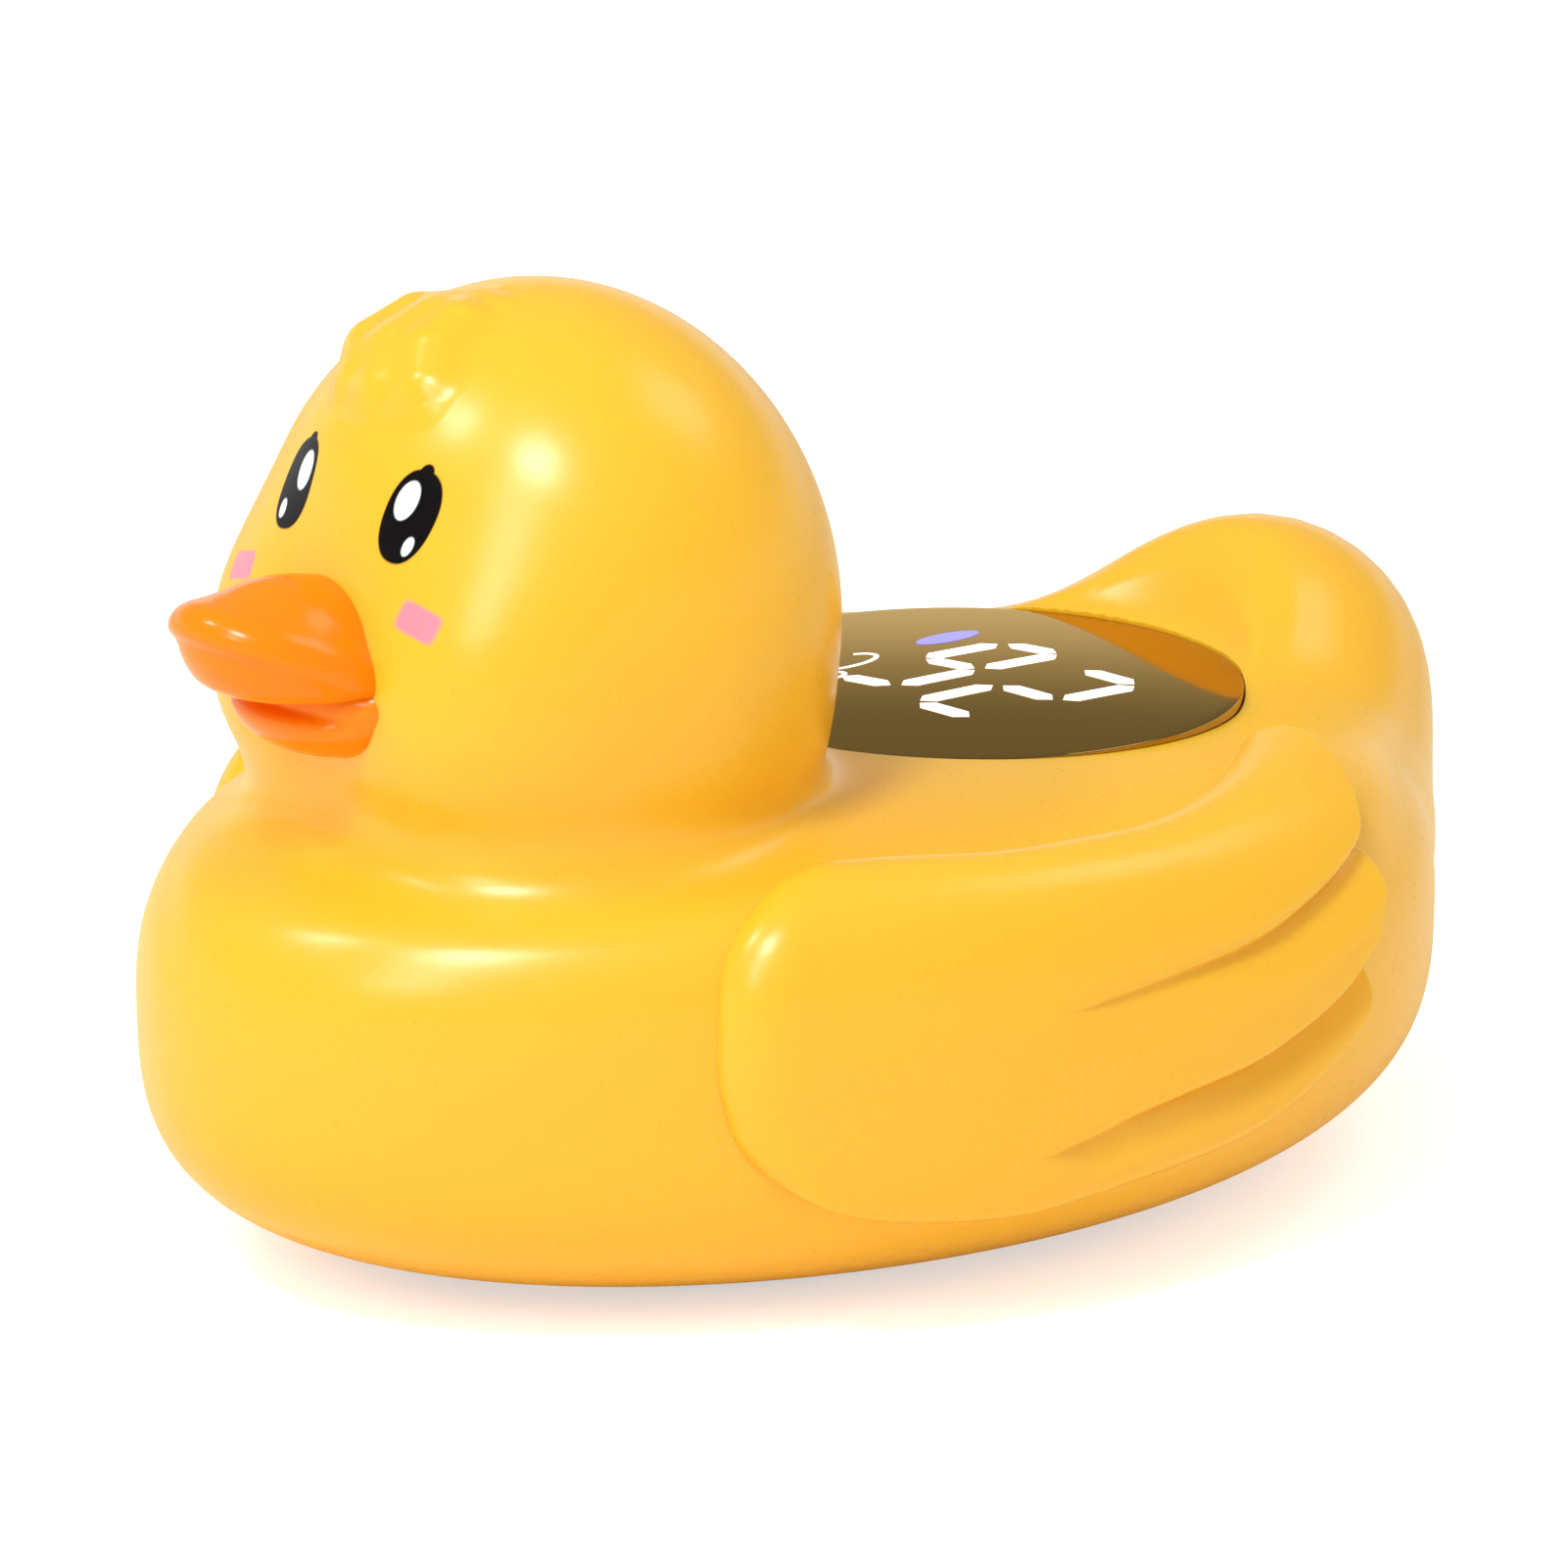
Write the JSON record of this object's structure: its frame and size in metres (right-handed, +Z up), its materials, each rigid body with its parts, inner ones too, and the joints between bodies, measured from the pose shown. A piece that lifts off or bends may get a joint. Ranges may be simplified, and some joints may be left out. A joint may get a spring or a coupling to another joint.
{
  "type": "floating bath thermometer",
  "caption": "Hollow duck-shaped float with an orange bill, a round smoked display in its back, a coin cell behind a screwed cover and a metal probe in its flat underside.",
  "frame": {"origin": "centre of the footprint of the overall box, on the plane of the flat underside", "axes": "+Z up, -Y the way the bill points, +Y the tail, +X the left wing"},
  "size_m": [0.087, 0.1161, 0.069],
  "materials": {
    "yellow_shell": "satin",
    "orange_bill": "gloss",
    "smoked_window": "gloss",
    "adhesive": "matt",
    "cream_plastic": "satin",
    "dark_plastic": "matt",
    "lit_white": "satin",
    "lamp_violet": "satin",
    "board_laminate": "satin",
    "chip_epoxy": "matt",
    "steel": "brushed",
    "seal_rubber": "matt",
    "red_insulation": "satin",
    "black_insulation": "satin",
    "cream_insulation": "satin"
  },
  "bodies": {
    "root": {"duck_body": "yellow_shell", "bill": "orange_bill", "display_lens": "smoked_window", "lens_tape": "adhesive", "display_housing": "cream_plastic", "light_mask": "dark_plastic", "digit_display": "lit_white", "status_lamp": "lamp_violet", "main_board": "board_laminate", "control_chip": "chip_epoxy", "filter_capacitor": "chip_epoxy", "board_screw_1": "steel", "board_screw_2": "steel", "board_screw_3": "steel", "base_plate": "cream_plastic", "base_seal": "seal_rubber", "base_screw_1": "steel", "base_screw_2": "steel", "base_screw_3": "steel", "base_screw_4": "steel", "coin_cell": "steel", "spring_contact": "steel", "side_contact": "steel", "battery_cover": "cream_plastic", "cover_seal": "seal_rubber", "cover_screw": "steel", "probe_cap": "steel", "probe_seal": "seal_rubber", "thermistor": "chip_epoxy", "probe_lead": "black_insulation", "water_contact_left": "steel", "water_contact_right": "steel", "sense_lead_left": "cream_insulation", "sense_lead_right": "cream_insulation", "power_lead_plus": "red_insulation", "power_lead_minus": "black_insulation"}
  },
  "joints": []
}
